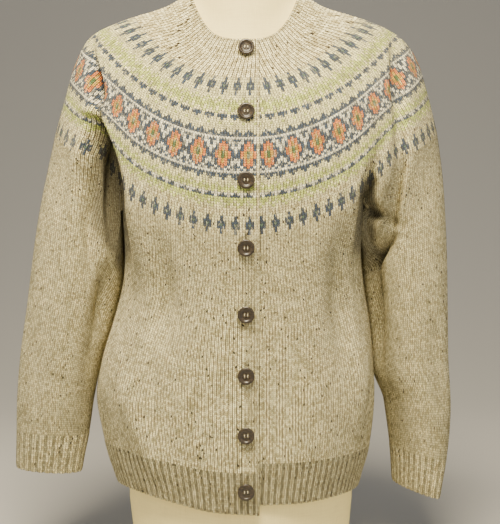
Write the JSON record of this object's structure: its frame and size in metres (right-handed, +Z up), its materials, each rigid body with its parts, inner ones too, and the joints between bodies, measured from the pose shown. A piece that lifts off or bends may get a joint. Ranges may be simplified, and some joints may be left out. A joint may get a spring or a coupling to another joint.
{
  "type": "cardigan sweater on a limbless dress form",
  "caption": "Knitted crew-neck cardigan with a round patterned yoke, long sleeves, ribbed bands and a buttoned front, on a limbless dress form.",
  "frame": {"origin": "middle of the dress form's flat underside", "axes": "+Z up, +Y towards the wearer's back, +X towards the wearer's left"},
  "size_m": [0.5224, 0.2377, 0.77],
  "materials": {
    "tweed_knit": "speckled oatmeal wool in plain and ribbed knitting",
    "stranded_knit": "stranded wool knitting in cream, pale green, slate blue, ochre and orange",
    "horn": "polished dark brown horn",
    "linen": "cream linen stretched over the form"
  },
  "bodies": {
    "root": {"dress_form": "linen", "neckband": "tweed_knit", "yoke": "stranded_knit", "front_right": "tweed_knit", "front_left": "tweed_knit", "back": "tweed_knit", "hem_rib": "tweed_knit", "sleeve_right": "tweed_knit", "sleeve_left": "tweed_knit", "cuff_right": "tweed_knit", "cuff_left": "tweed_knit", "button_1": "horn", "button_2": "horn", "button_3": "horn", "button_4": "horn", "button_5": "horn", "button_6": "horn", "button_7": "horn", "button_8": "horn"}
  },
  "joints": []
}
